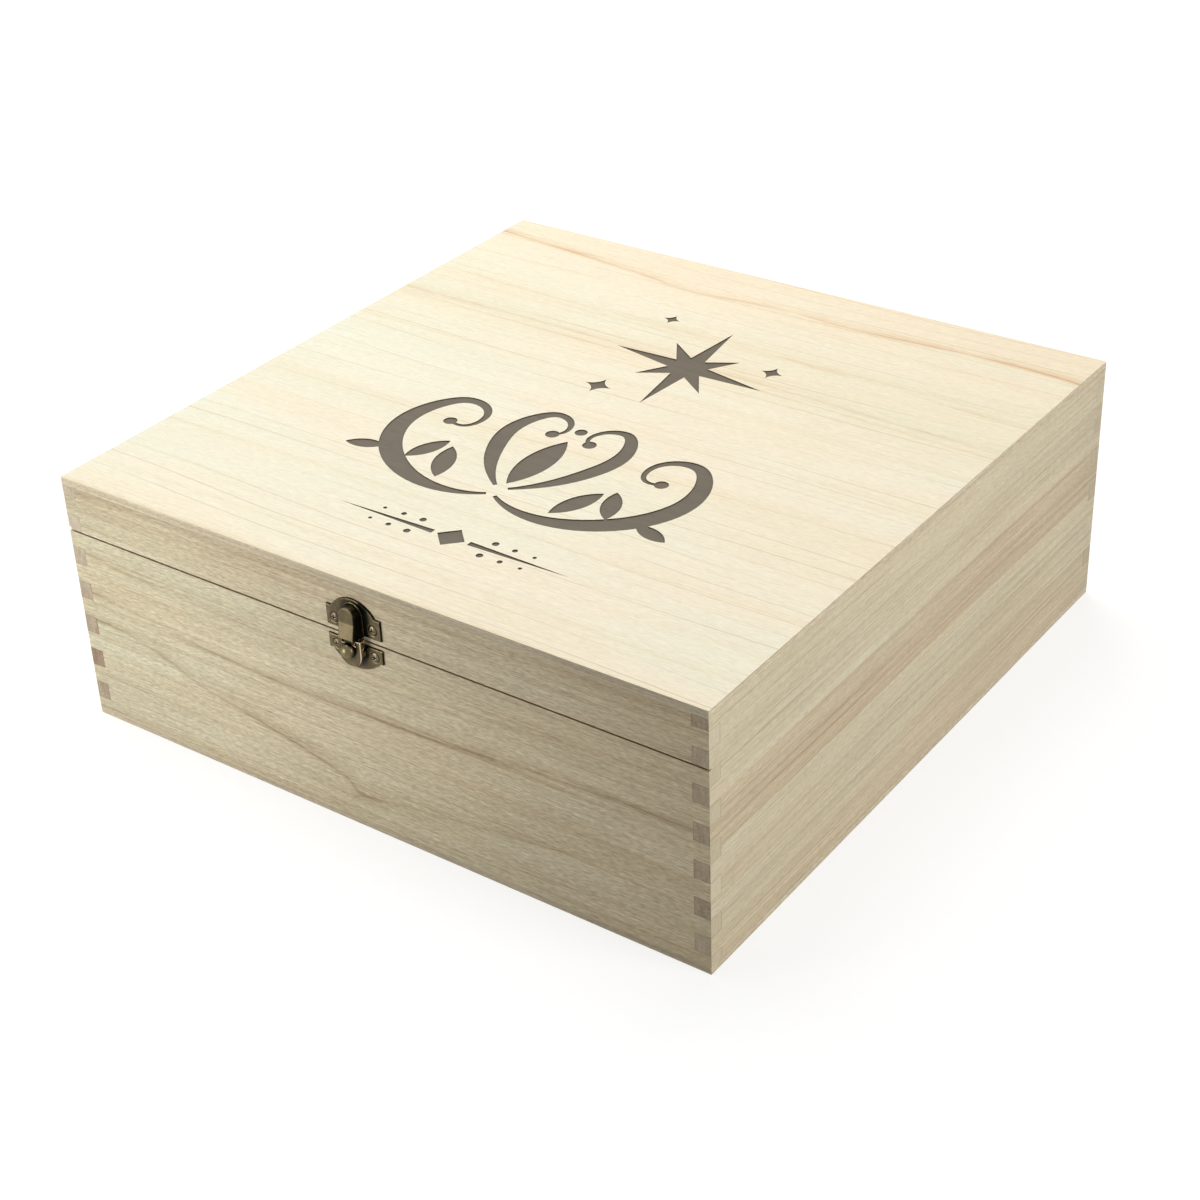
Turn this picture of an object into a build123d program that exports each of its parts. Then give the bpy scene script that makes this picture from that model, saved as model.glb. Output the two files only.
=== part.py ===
from build123d import *
from math import cos, pi, radians, sin
import os

# A square keepsake box of thin paulownia boards with finger joints at its corners.
# The box was glued up closed and then sawn open, so the lid is the top slice of it.
# Frame: millimetres, +Z up, the front faces -Y, origin at the middle of the underside.

# ---- the wooden box ----
box_width = 300.0
box_depth = 300.0
wall_thickness = 6.8
bottom_thickness = 3.2
top_thickness = 3.2
base_wall_height = 84.0
lid_rail_height = 20.4
saw_kerf = 1.2
finger_height = 8.0
groove_height = 0.8          # bevelled groove along the front of the seam
groove_depth = 1.6
corner_chip = 1.5            # a small knock in the lid's left front corner, at the seam

seam_z = bottom_thickness + base_wall_height
rail_top_z = seam_z + lid_rail_height
box_height = rail_top_z + top_thickness
front_y = -box_depth / 2
back_y = box_depth / 2

# ---- the engraving in the top panel ----
engraving_depth = 0.35
star_centre = (5.9, 56.5)
star_across = (37.5, -2.8)   # from the centre to the right-hand tip
star_up = (-1.0, 37.0)       # from the centre to the upper tip
star_short_share = 0.445     # the short rays' tips, as a share of both
star_waist = (0.22, 0.095)
sparkles = ((-25.9, 92.6, 4.2), (38.4, 70.0, 5.2), (-16.6, 23.8, 6.4))   # x, y, ray
sparkle_waist_share = 0.33

# The flourish is its right half and that half's mirror image. Places are from flourish_centre.
flourish_centre = (2.0, -42.0)
outer_scroll = ((2, -31), (24, -37), (48, -29), (65, -9), (66, 14), (53, 28), (41, 20), (43, 9), (51, 9))
outer_scroll_width = 9.5
inner_scroll = ((3, -24), (13, -14), (23, 4), (25, 24), (15, 36), (6, 29), (9, 21))
inner_scroll_width = 7.5
scroll_end_width = 1.7
scroll_bud_radius = 2.9
scroll_steps = 16
scroll_swell_shift = 0.8     # below 1, the widest place comes before the middle
scroll_swell_power = 1.6     # above 1, the ends stay thin for longer
leaves = ((0, -21, 90, 40, 13), (27, -31, 68, 25, 9), (48, -24, 112, 21, 8), (60, -21, -18, 17, 7))
leaf_berry = (0, 28, 2.6)

rule_centre = (9.4, -106.3)
rule_gap = 8.4               # from the centre to where a bar starts
rule_length = 46.0
rule_width = 2.6
rule_lozenge = 6.4
rule_dots = ((17.0, 4.8, 1.4), (26.0, 4.6, 1.1), (35.0, 4.4, 0.8))   # across, up, radius

# ---- screws ----
shank_radius = 0.8
pilot_clearance = 0.04
screw_tip = 1.2
head_edge = 0.08             # height of the straight edge under a head's dome
cross_slot_length = 2.3
cross_slot_width = 0.5
cross_slot_floor = 0.55      # height of its floor over the wood
dome_place = 0.6             # a place on a head's dome, as a share of its radius
dome_share = 0.66            # the dome's height there, as a share of its own height

# ---- the latch, measured from the seam on the front face ----
latch_centre = -1.7          # across the box, from its middle
latch_width = 25.4
latch_sheet = 0.9
latch_edge_round = 0.4
latch_screw_spread = 18.0
latch_screw_length = 5.4     # in the wood
latch_head_radius = 1.9
latch_head_seat = 0.75
latch_head_dome = 0.55
latch_seat_radius = 2.35

strike_bottom = 2.4
strike_ear_height = 8.6
strike_arch_height = 14.2
strike_arch_radius = 12.0
strike_screw_height = 3.8

catch_top = -1.5
catch_ear_height = 6.0
catch_arch_height = 11.2
catch_arch_radius = 14.0
catch_screw_drop = 3.6

hood_bottom = 2.1
hood_top = 15.0
hood_root_half_width = 4.7
hood_front_half_width = 3.5
hood_mouth_stand = 5.7       # how far the hood stands out at its mouth
hood_crease_height = 8.3
hood_crease_stand = 4.6
hood_top_stand = 4.3
hood_shoulder_drop = 0.6     # front face below the hood's root at the top
hood_wall = 0.7
hood_lip = 0.9
hood_round = 0.55
hood_crease_round = 0.8
hood_margin = 1.0            # how far the cutting shapes run past the hood

lever_half_width = 5.3
lever_sheet = 0.8
lever_front = 4.3
lever_back = 1.15
lever_top = 1.5
lever_cheek_bottom = -5.2
lever_bend = 0.6
spoon_bottom = -10.1
window_half_width = 3.4
window_bottom = -0.6
tongue_half_width = 2.5
tongue_front = 3.0
tongue_jog_top = 1.0
tongue_top = 5.3
tongue_root = 0.5            # how far the tongue reaches down into the web
tongue_bend = 0.35           # set back of the inside of the tongue's jog
tongue_tip = 0.3             # thickness left at its end
nose_reach = 0.9
nose_height = 0.6
latch_clearance = 0.3        # between the lever and the hood

pivot_height = -2.2
pivot_stand = 2.25
pivot_radius = 0.5
pivot_head_radius = 0.85
pivot_head_thickness = 0.25
running_clearance = 0.05
press_clearance = 0.02
side_play = 0.1
ear_thickness = 0.8
ear_radius = 0.95
ear_side_clearance = 0.15
ear_foot = 0.6               # height over the wood where the ears leave the plate

knob_radius = 3.0
knob_height = -3.0
knob_stand = 4.6
rivet_radius = 0.9
rivet_length = 1.2           # from the back of the web into the ball
rivet_head_radius = 1.4
rivet_head_thickness = 0.3

spring_wire = 0.3
spring_pitch = 0.56
spring_turns = 2.707         # from the wall leg round to the tongue leg
spring_clearance = 0.1
spring_side_gap = 0.25
spring_leg_angle = 15.7      # degrees, where the wall leg leaves the coil
spring_leg_gap = 0.1         # between the end of the wall leg and the wood
tongue_leg_length = 2.8

# ---- the two hinges, measured from the seam on the back face ----
hinge_inset = 60.0           # from the side of the box to the middle of the hinge
hinge_length = 26.0
hinge_leaf_height = 10.0
hinge_sheet = 1.0
knuckle_radius = 2.0
knuckle_gap = 0.2
knuckle_stand_off = 0.15
leaf_gap = 0.5               # between the two leaves, across the pin
middle_knuckle_share = 0.4
hinge_pin_radius = 0.9
hinge_cap_radius = 1.6
hinge_cap_thickness = 0.5
leaf_corner = 1.2
hinge_screw_spread = 16.0
hinge_screw_height = 6.4
hinge_screw_length = 4.8     # in the wood
hinge_head_radius = 1.75
hinge_head_dome = 0.35
hinge_seat_clearance = 0.1

glued_height = base_wall_height + saw_kerf + lid_rail_height
finger_pairs = int((glued_height - finger_height) // (2 * finger_height))
end_finger = glued_height / 2 - finger_pairs * finger_height
hinge_axis_out = knuckle_radius + knuckle_stand_off

on_floor = (Align.CENTER, Align.CENTER, Align.MIN)
below_floor = (Align.CENTER, Align.CENTER, Align.MAX)

# Local frames: +X to the reader's right, +Y up, +Z out of the wood, origin on the seam.
front_face = Plane(origin=(latch_centre, front_y, seam_z), x_dir=(1, 0, 0), z_dir=(0, -1, 0))
back_face = Plane(origin=(0, back_y, seam_z), x_dir=(-1, 0, 0), z_dir=(0, 1, 0))


def block(low, high):
    """A box from its low corner to its high corner."""
    size = [b - a for a, b in zip(low, high)]
    return Pos(*low) * Box(*size, align=(Align.MIN, Align.MIN, Align.MIN))


def side_prism(points, half_width):
    """A prism along X: points are (up, out) in a face frame."""
    profile = Plane.YZ * make_face(Polyline(*points, close=True))
    return Pos(-half_width, 0, 0) * extrude(profile, 2 * half_width)


def save(name, *solids):
    shape = solids[0] if len(solids) == 1 else Compound(list(solids))
    shape.label = name
    export_step(shape, f"parts/{name}.step")


# ---------------------------------------------------------------- wooden walls

def finger_zones(low, high, shift):
    """Heights (bottom, top, is_front) of the fingers that lie between low and high.

    The fingers were cut before the box was sawn open, so the lid's are shifted down.
    """
    marks = [bottom_thickness]
    for k in range(2 * finger_pairs + 1):
        marks.append(bottom_thickness + end_finger + k * finger_height)
    marks.append(bottom_thickness + glued_height)
    zones = []
    for k, (a, b) in enumerate(zip(marks, marks[1:])):
        bottom = max(a - shift, low)
        top = min(b - shift, high)
        if top > bottom:
            zones.append((bottom, top, k % 2 == 0))
    return zones


def cut_fingers(board, zones, own_front):
    """Takes away the corner places that belong to the boards at right angles."""
    for bottom, top, is_front in zones:
        if is_front == own_front:
            continue
        for side in (-1, 1):
            if own_front:
                x = side * (box_width - wall_thickness) / 2
                place = Pos(x, 0, (bottom + top) / 2)
                notch = Box(wall_thickness, box_depth, top - bottom)
            else:
                y = side * (box_depth - wall_thickness) / 2
                place = Pos(0, y, (bottom + top) / 2)
                notch = Box(box_width, wall_thickness, top - bottom)
            board -= place * notch
    return board


def seam_groove():
    """The shallow bevelled groove along the front of the seam."""
    points = (
        (front_y - 1, seam_z - groove_height / 2),
        (front_y, seam_z - groove_height / 2),
        (front_y + groove_depth, seam_z),
        (front_y, seam_z + groove_height / 2),
        (front_y - 1, seam_z + groove_height / 2),
    )
    profile = Plane.YZ * make_face(Polyline(*points, close=True))
    return Pos(-box_width / 2, 0, 0) * extrude(profile, box_width)


def wall_ring(low, high, shift):
    """Front, back, left and right boards of one ring of walls."""
    zones = finger_zones(low, high, shift)
    half_x = box_width / 2
    half_y = box_depth / 2
    front = block((-half_x, -half_y, low), (half_x, -half_y + wall_thickness, high))
    back = block((-half_x, half_y - wall_thickness, low), (half_x, half_y, high))
    left = block((-half_x, -half_y, low), (-half_x + wall_thickness, half_y, high))
    right = block((half_x - wall_thickness, -half_y, low), (half_x, half_y, high))
    groove = seam_groove()
    front = cut_fingers(front, zones, True) - groove
    back = cut_fingers(back, zones, True)
    left = cut_fingers(left, zones, False) - groove
    right = cut_fingers(right, zones, False) - groove
    return front, back, left, right


def bottom_panel():
    low = (-box_width / 2, -box_depth / 2, 0)
    high = (box_width / 2, box_depth / 2, bottom_thickness)
    return block(low, high)


# ---------------------------------------------------------------- engraving

def star_outline():
    """Eight rays, four long on the axes and four short between them."""
    long_side, short_side = star_waist
    rays = [(1, 0), (long_side, short_side), (star_short_share, star_short_share), (short_side, long_side)]
    points = []
    for quarter in range(4):
        for across, up in rays:
            x = star_centre[0] + across * star_across[0] + up * star_up[0]
            y = star_centre[1] + across * star_across[1] + up * star_up[1]
            points.append((x, y))
        rays = [(-up, across) for across, up in rays]
    return make_face(Polyline(*points, close=True))


def sparkle_outline(x, y, ray):
    """A four-pointed sparkle with hollow sides."""
    waist = ray * sparkle_waist_share
    tips = [(x + ray, y), (x, y + ray), (x - ray, y), (x, y - ray)]
    hollows = [
        (x + waist, y + waist),
        (x - waist, y + waist),
        (x - waist, y - waist),
        (x + waist, y - waist),
    ]
    sides = []
    for k in range(4):
        sides.append(ThreePointArc(tips[k], hollows[k], tips[(k + 1) % 4]))
    return make_face(sides)


def leaf_outline(x, y, angle, length, width):
    """A pointed leaf between two arcs, from its root along an angle in degrees."""
    root = Vector(x, y)
    along = Vector(cos(radians(angle)), sin(radians(angle)))
    across = Vector(-along.Y, along.X)
    tip = root + along * length
    middle = root + along * (length / 2)
    left = ThreePointArc(root, middle + across * (width / 2), tip)
    right = ThreePointArc(tip, middle - across * (width / 2), root)
    return make_face([left, right])


def scroll_outline(points, width):
    """A pen stroke along a curve: thin at both ends and widest in its first half."""
    line = Spline(*points)
    left = []
    right = []
    for k in range(scroll_steps + 1):
        share = k / scroll_steps
        swell = sin(pi * share ** scroll_swell_shift) ** scroll_swell_power
        half = (scroll_end_width + (width - scroll_end_width) * swell) / 2
        heading = line % share
        across = Vector(-heading.Y, heading.X) * half
        left.append(line @ share + across)
        right.append(line @ share - across)
    right.reverse()
    sides = [Spline(*left), Line(left[-1], right[0]), Spline(*right), Line(right[-1], left[0])]
    bud = Pos(*points[-1]) * Circle(scroll_bud_radius)
    return make_face(sides) + bud


def flourish():
    """Two mirrored pairs of scrolls with leaves between them."""
    half = scroll_outline(outer_scroll, outer_scroll_width)
    half += scroll_outline(inner_scroll, inner_scroll_width)
    for leaf in leaves[1:]:
        half += leaf_outline(*leaf)
    whole = half + mirror(half, Plane.YZ)
    whole += leaf_outline(*leaves[0])
    x, y, radius = leaf_berry
    whole += Pos(x, y) * Circle(radius)
    return Pos(*flourish_centre) * whole


def rule_ornament():
    """A lozenge between two tapering bars, with a row of dots above and below them."""
    half = rule_lozenge
    ornament = make_face(Polyline((half, 0), (0, half), (-half, 0), (0, -half), close=True))
    for side in (-1, 1):
        start = side * rule_gap
        end = side * (rule_gap + rule_length)
        thick = rule_width / 2
        ornament += make_face(Polyline((start, -thick), (end, 0), (start, thick), close=True))
        for across, up, radius in rule_dots:
            ornament += Pos(side * across, up) * Circle(radius)
            ornament += Pos(side * across, -up) * Circle(radius)
    return Pos(*rule_centre) * ornament


def top_panel():
    """The flush top board with the engraved star, garland and rule."""
    low = (-box_width / 2, -box_depth / 2, rail_top_z)
    high = (box_width / 2, box_depth / 2, box_height)
    panel = block(low, high)
    outlines = [star_outline(), flourish(), rule_ornament()]
    for sparkle in sparkles:
        outlines.append(sparkle_outline(*sparkle))
    for outline in outlines:
        for face in outline.faces():
            tool = extrude(face, engraving_depth + 1, dir=(0, 0, 1))
            panel -= Pos(0, 0, box_height - engraving_depth) * tool
    return panel


# ---------------------------------------------------------------- screws

def wood_screw(head_radius, seat, dome, length):
    """A countersunk screw along Z: its cone starts at the wood, its head stands out."""
    rim = seat + head_edge
    crown = rim + dome
    on_dome = (head_radius * dome_place, rim + dome * dome_share)
    dome_arc = ThreePointArc((head_radius, rim), on_dome, (0, crown))
    profile = [
        Polyline((0, -length), (shank_radius, screw_tip - length), (shank_radius, 0)),
        Polyline((shank_radius, 0), (head_radius, seat), (head_radius, rim)),
        dome_arc,
        Line((0, crown), (0, -length)),
    ]
    screw = revolve(Plane.XZ * make_face(profile), Axis.Z)
    slot = Box(cross_slot_length, cross_slot_width, crown, align=on_floor)
    for turn in (0, 90):
        screw -= Pos(0, 0, cross_slot_floor) * Rot(0, 0, turn) * slot
    return screw


def pilot_hole(length):
    return Cylinder(shank_radius + pilot_clearance, length + pilot_clearance, align=below_floor)


def countersink(seat_radius, sheet):
    """The conical hole of a screw through a sheet that lies on the wood."""
    return Cone(shank_radius + running_clearance, seat_radius, sheet, align=on_floor)


def latch_screw_places(height):
    return [Pos(side * latch_screw_spread / 2, height, 0) for side in (-1, 1)]


def latch_screws(height):
    screws = []
    for place in latch_screw_places(height):
        screw = wood_screw(latch_head_radius, latch_head_seat, latch_head_dome, latch_screw_length)
        screws.append(front_face.location * place * screw)
    return screws


# ---------------------------------------------------------------- latch

def arched_plate(edge, ear, reach, radius, upward):
    """A latch plate: a straight edge at the seam side, square ears and a round back.

    edge is the height of the straight edge; ear and reach are measured from it.
    """
    way = 1 if upward else -1
    half = latch_width / 2
    centre = edge + way * (reach - radius)
    drop = abs(edge + way * ear - centre)
    shoulder = (radius ** 2 - drop ** 2) ** 0.5
    ear_line = edge + way * ear
    outline = [
        Polyline((-shoulder, ear_line), (-half, ear_line), (-half, edge), (half, edge)),
        Polyline((half, edge), (half, ear_line), (shoulder, ear_line)),
        ThreePointArc((shoulder, ear_line), (0, edge + way * reach), (-shoulder, ear_line)),
    ]
    plate = extrude(make_face(outline), latch_sheet, dir=(0, 0, 1))
    front = plate.faces().sort_by(Axis.Z)[-1]
    return fillet(front.edges(), latch_edge_round)


def bullet_outline(half_width, bottom, top):
    """Straight at the mouth and sides, round at the top."""
    corner = top - half_width
    outline = [
        Polyline((-half_width, corner), (-half_width, bottom), (half_width, bottom)),
        Line((half_width, bottom), (half_width, corner)),
        ThreePointArc((half_width, corner), (0, top), (-half_width, corner)),
    ]
    return make_face(outline)


def bullet_solid(root_half, front_half, bottom, root_top, front_top, stand):
    root = bullet_outline(root_half, bottom, root_top)
    front = Pos(0, 0, stand) * bullet_outline(front_half, bottom, front_top)
    return loft([root, front])


def hood_outer():
    """The pressed hood: a bullet shape whose front leans out towards its mouth."""
    stand = hood_mouth_stand
    front_top = hood_top - hood_shoulder_drop
    root_half = hood_root_half_width
    body = bullet_solid(root_half, hood_front_half_width, hood_bottom, hood_top, front_top, stand)
    slope = (
        (hood_bottom, -hood_margin),
        (hood_bottom, hood_mouth_stand),
        (hood_crease_height, hood_crease_stand),
        (hood_top + hood_margin, hood_top_stand),
        (hood_top + hood_margin, -hood_margin),
    )
    body = body & side_prism(slope, latch_width)
    level = [e for e in body.edges().filter_by(Axis.X) if e.center().Z > latch_sheet]
    crease = [e for e in level if e.center().Y > hood_bottom + hood_margin]
    body = fillet(crease, hood_crease_round)
    rim = []
    for edge in body.edges():
        is_front = edge.bounding_box().min.Z > hood_top_stand - hood_round
        is_side = abs(edge.center().X) > hood_round
        is_end = edge.center().Y > hood_crease_height + hood_margin
        if is_front and (is_side or is_end):
            rim.append(edge)
    return fillet(rim, hood_round)


def hood_hollow():
    """The room inside the hood, open at the mouth and at the wood, behind an inner lip."""
    wall = hood_wall
    root_half = hood_root_half_width - wall
    front_half = hood_front_half_width - wall
    top = hood_top - wall
    front_top = top - hood_shoulder_drop
    low = hood_bottom - hood_margin
    hollow = bullet_solid(root_half, front_half, low, top, front_top, hood_mouth_stand)
    lip_edge = tongue_front + latch_clearance
    lip_top = hood_bottom + hood_lip
    inside = (
        (low, -hood_margin),
        (low, lip_edge),
        (lip_top, lip_edge),
        (lip_top, hood_mouth_stand - wall),
        (hood_crease_height, hood_crease_stand - wall),
        (hood_top, hood_top_stand - wall),
        (hood_top, -hood_margin),
    )
    return hollow & side_prism(inside, latch_width)


def strike_plate():
    """The upper plate with the hood that the lever's nose hooks into."""
    ear = strike_ear_height
    plate = arched_plate(strike_bottom, ear, strike_arch_height, strike_arch_radius, True)
    plate = plate + hood_outer() - hood_hollow()
    for place in latch_screw_places(strike_bottom + strike_screw_height):
        plate = plate - place * countersink(latch_seat_radius, latch_sheet)
    return plate


def pivot_rod(radius, half_length):
    return Pos(0, pivot_height, pivot_stand) * Rot(0, 90, 0) * Cylinder(radius, 2 * half_length)


def catch_plate():
    """The lower plate with the two ears that carry the pin."""
    plate = arched_plate(catch_top, catch_ear_height, catch_arch_height, catch_arch_radius, False)
    outer = lever_half_width - lever_sheet - ear_side_clearance
    for side in (-1, 1):
        middle = side * (outer - ear_thickness / 2)
        stem = Box(ear_thickness, 2 * ear_radius, pivot_stand - ear_foot, align=on_floor)
        head = Rot(0, 90, 0) * Cylinder(ear_radius, ear_thickness)
        plate = plate + Pos(middle, pivot_height, ear_foot) * stem
        plate = plate + Pos(middle, pivot_height, pivot_stand) * head
    plate = plate - pivot_rod(pivot_radius + press_clearance, lever_half_width)
    for place in latch_screw_places(catch_top - catch_screw_drop):
        plate = plate - place * countersink(latch_seat_radius, latch_sheet)
    return plate


def catch_pin():
    """The pin through both ears and both cheeks, with a flat head at each end."""
    half = lever_half_width + side_play
    head_end = half + pivot_head_thickness
    heads = pivot_rod(pivot_head_radius, head_end) - pivot_rod(2 * pivot_head_radius, half)
    return pivot_rod(pivot_radius, head_end) + heads


def lever_channel():
    """The front web with its round lower end, and two cheeks folded back to the plate."""
    half = lever_half_width
    centre = spoon_bottom + half
    outline = [
        Polyline((-half, centre), (-half, lever_top), (half, lever_top), (half, centre)),
        ThreePointArc((half, centre), (0, spoon_bottom), (-half, centre)),
    ]
    web_back = lever_front - lever_sheet
    channel = Pos(0, 0, web_back) * extrude(make_face(outline), lever_sheet, dir=(0, 0, 1))
    rim = []
    for edge in channel.edges():
        if edge.center().Z > lever_front - 0.01 and edge.center().Y < lever_top - 0.01:
            rim.append(edge)
    channel = fillet(rim, lever_bend)
    for side in (-1, 1):
        inner, outer = sorted((side * (half - lever_sheet), side * half))
        low = (inner, lever_cheek_bottom, lever_back)
        channel = channel + block(low, (outer, lever_top, lever_front - lever_bend))
    return channel


def lever_tongue():
    """The tongue steps back from the web, runs up inside the hood and ends in a nose."""
    web_back = lever_front - lever_sheet
    tongue_back = tongue_front - lever_sheet
    nose_bottom = hood_bottom + hood_lip + latch_clearance
    points = (
        (window_bottom - tongue_root, web_back),
        (window_bottom - tongue_root, lever_front),
        (window_bottom, lever_front),
        (tongue_jog_top, tongue_front),
        (nose_bottom, tongue_front),
        (nose_bottom, tongue_front + nose_reach),
        (nose_bottom + nose_height, tongue_front + nose_reach),
        (tongue_top, tongue_back + tongue_tip),
        (tongue_top, tongue_back),
        (tongue_jog_top - tongue_bend, tongue_back),
        (window_bottom - tongue_bend, web_back),
    )
    return side_prism(points, tongue_half_width)


def catch_lever():
    lever = lever_channel()
    low = (-window_half_width, window_bottom, 0)
    high = (window_half_width, lever_top + 1, lever_front + 1)
    lever = lever - block(low, high) + lever_tongue()
    lever = lever - pivot_rod(pivot_radius + running_clearance, lever_half_width + 1)
    rivet_hole = Pos(0, knob_height, lever_front) * Cylinder(rivet_radius, 4 * lever_sheet)
    return lever - rivet_hole


def catch_knob():
    """The round finger knob, riveted through the web."""
    reach = 2 * knob_radius
    web_back = lever_front - lever_sheet
    behind_web = block((-reach, -reach, -reach), (reach, reach, lever_front))
    ball = Pos(0, 0, knob_stand) * Sphere(knob_radius) - behind_web
    neck = Pos(0, 0, web_back) * Cylinder(rivet_radius, rivet_length, align=on_floor)
    head = Pos(0, 0, web_back) * Cylinder(rivet_head_radius, rivet_head_thickness, align=below_floor)
    return Pos(0, knob_height, 0) * (ball + neck + head)


def catch_spring():
    """A small torsion spring round the pin: one leg on the wood, one behind the tongue."""
    coil_radius = pivot_radius + spring_clearance + spring_wire / 2
    ear_inside = lever_half_width - lever_sheet - ear_side_clearance - ear_thickness
    start_x = -ear_inside + spring_side_gap + spring_wire / 2
    leg_up = cos(radians(spring_leg_angle))
    leg_out = sin(radians(spring_leg_angle))
    centre = (start_x, pivot_height, pivot_stand)
    coil_frame = Plane(origin=centre, x_dir=(0, leg_up, leg_out), z_dir=(1, 0, 0))
    coil = Helix(spring_pitch, spring_pitch * spring_turns, coil_radius)
    coil = coil.moved(coil_frame.location)
    start = coil @ 0
    heading = coil % 0
    wall_leg_length = (start.Z - spring_wire / 2 - spring_leg_gap) / heading.Z
    wall_leg = Line(start - heading * wall_leg_length, start)
    end = coil @ 1
    tongue_leg = Line(end, end + (coil % 1) * tongue_leg_length)
    wire = Wire([wall_leg, coil, tongue_leg])
    ring = Plane(origin=wall_leg @ 0, z_dir=heading) * Circle(spring_wire / 2)
    return sweep(ring, path=wire)


# ---------------------------------------------------------------- hinges

def hinge_screw_places(height):
    return [Pos(side * hinge_screw_spread / 2, height, 0) for side in (-1, 1)]


def knuckle(x_low, x_high):
    length = x_high - x_low
    middle = (x_low + x_high) / 2
    return Pos(middle, 0, hinge_axis_out) * Rot(0, 90, 0) * Cylinder(knuckle_radius, length)


def hinge_leaf(upper):
    """A leaf with its own knuckles: the lower leaf has the outer two, the upper the middle one."""
    way = 1 if upper else -1
    half = hinge_length / 2
    middle = half * middle_knuckle_share
    inner = [(-middle, middle)]
    outer = [(-half, -middle - knuckle_gap), (middle + knuckle_gap, half)]
    own, other = (inner, outer) if upper else (outer, inner)
    near_edge = leaf_gap / 2
    flat = extrude(Rectangle(hinge_length, hinge_leaf_height - near_edge), hinge_sheet, dir=(0, 0, 1))
    leaf = Pos(0, way * (hinge_leaf_height + near_edge) / 2, 0) * flat
    far = [e for e in leaf.edges().filter_by(Axis.Z) if abs(e.center().Y) > hinge_leaf_height / 2]
    leaf = fillet(far, leaf_corner)
    for low, high in other:
        bottom, top = sorted((-way, way * (knuckle_radius + 2 * knuckle_gap)))
        leaf = leaf - block((low - knuckle_gap, bottom, -1), (high + knuckle_gap, top, 2 * hinge_sheet))
    for low, high in own:
        bottom, top = sorted((0, way * (near_edge + hinge_sheet)))
        leaf = leaf + block((low, bottom, knuckle_stand_off), (high, top, hinge_sheet))
        leaf = leaf + knuckle(low, high)
    clearance = running_clearance if upper else press_clearance
    bore = Rot(0, 90, 0) * Cylinder(hinge_pin_radius + clearance, 2 * hinge_length)
    leaf = leaf - Pos(0, 0, hinge_axis_out) * bore
    for place in hinge_screw_places(way * hinge_screw_height):
        leaf = leaf - place * countersink(hinge_head_radius + hinge_seat_clearance, hinge_sheet)
    return leaf


def hinge_pin():
    """The pin through all three knuckles, with a low cap at each end."""
    pin = Rot(0, 90, 0) * Cylinder(hinge_pin_radius, hinge_length)
    cap = Rot(0, 90, 0) * Cylinder(hinge_cap_radius, hinge_cap_thickness)
    for side in (-1, 1):
        pin = pin + Pos(side * (hinge_length + hinge_cap_thickness) / 2, 0, 0) * cap
    return Pos(0, 0, hinge_axis_out) * pin


def hinge_places():
    reach = box_width / 2 - hinge_inset
    return {"left": Pos(reach, 0, 0), "right": Pos(-reach, 0, 0)}


def hinge_screws(way):
    screws = []
    for hinge in hinge_places().values():
        for place in hinge_screw_places(way * hinge_screw_height):
            seat = hinge_sheet - head_edge
            screw = wood_screw(hinge_head_radius, seat, hinge_head_dome, hinge_screw_length)
            screws.append(back_face.location * hinge * place * screw)
    return screws


def drill(board, face, places, length):
    for place in places:
        board = board - face.location * place * pilot_hole(length)
    return board


def hinge_pilots(way):
    places = []
    for hinge in hinge_places().values():
        for place in hinge_screw_places(way * hinge_screw_height):
            places.append(hinge * place)
    return places


# ---------------------------------------------------------------- build

os.makedirs("parts", exist_ok=True)

base_front, base_back, base_left, base_right = wall_ring(bottom_thickness, seam_z, 0)
lid_front, lid_back, lid_left, lid_right = wall_ring(seam_z, rail_top_z, saw_kerf)
lid_left = lid_left - Pos(-box_width / 2, front_y, seam_z) * Sphere(corner_chip)

catch_screw_height = catch_top - catch_screw_drop
strike_screw_line = strike_bottom + strike_screw_height
base_front = drill(base_front, front_face, latch_screw_places(catch_screw_height), latch_screw_length)
lid_front = drill(lid_front, front_face, latch_screw_places(strike_screw_line), latch_screw_length)
base_back = drill(base_back, back_face, hinge_pilots(-1), hinge_screw_length)
lid_back = drill(lid_back, back_face, hinge_pilots(1), hinge_screw_length)

save("bottom_panel", bottom_panel())
save("base_front_wall", base_front)
save("base_back_wall", base_back)
save("base_left_wall", base_left)
save("base_right_wall", base_right)
save("lid_front_rail", lid_front)
save("lid_back_rail", lid_back)
save("lid_left_rail", lid_left)
save("lid_right_rail", lid_right)
save("top_panel", top_panel())

save("strike_plate", front_face.location * strike_plate())
save("strike_screws", *latch_screws(strike_screw_line))
save("catch_plate", front_face.location * catch_plate())
save("catch_screws", *latch_screws(catch_screw_height))
save("catch_lever", front_face.location * catch_lever())
save("catch_knob", front_face.location * catch_knob())
save("catch_pin", front_face.location * catch_pin())
save("catch_spring", front_face.location * catch_spring())

for side, place in hinge_places().items():
    hinge = back_face.location * place
    save(f"{side}_hinge_base_leaf", hinge * hinge_leaf(False))
    save(f"{side}_hinge_lid_leaf", hinge * hinge_leaf(True))
    save(f"{side}_hinge_pin", hinge * hinge_pin())
save("hinge_base_screws", *hinge_screws(-1))
save("hinge_lid_screws", *hinge_screws(1))
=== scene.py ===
import math
import bpy
from mathutils import Matrix, Vector


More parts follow.
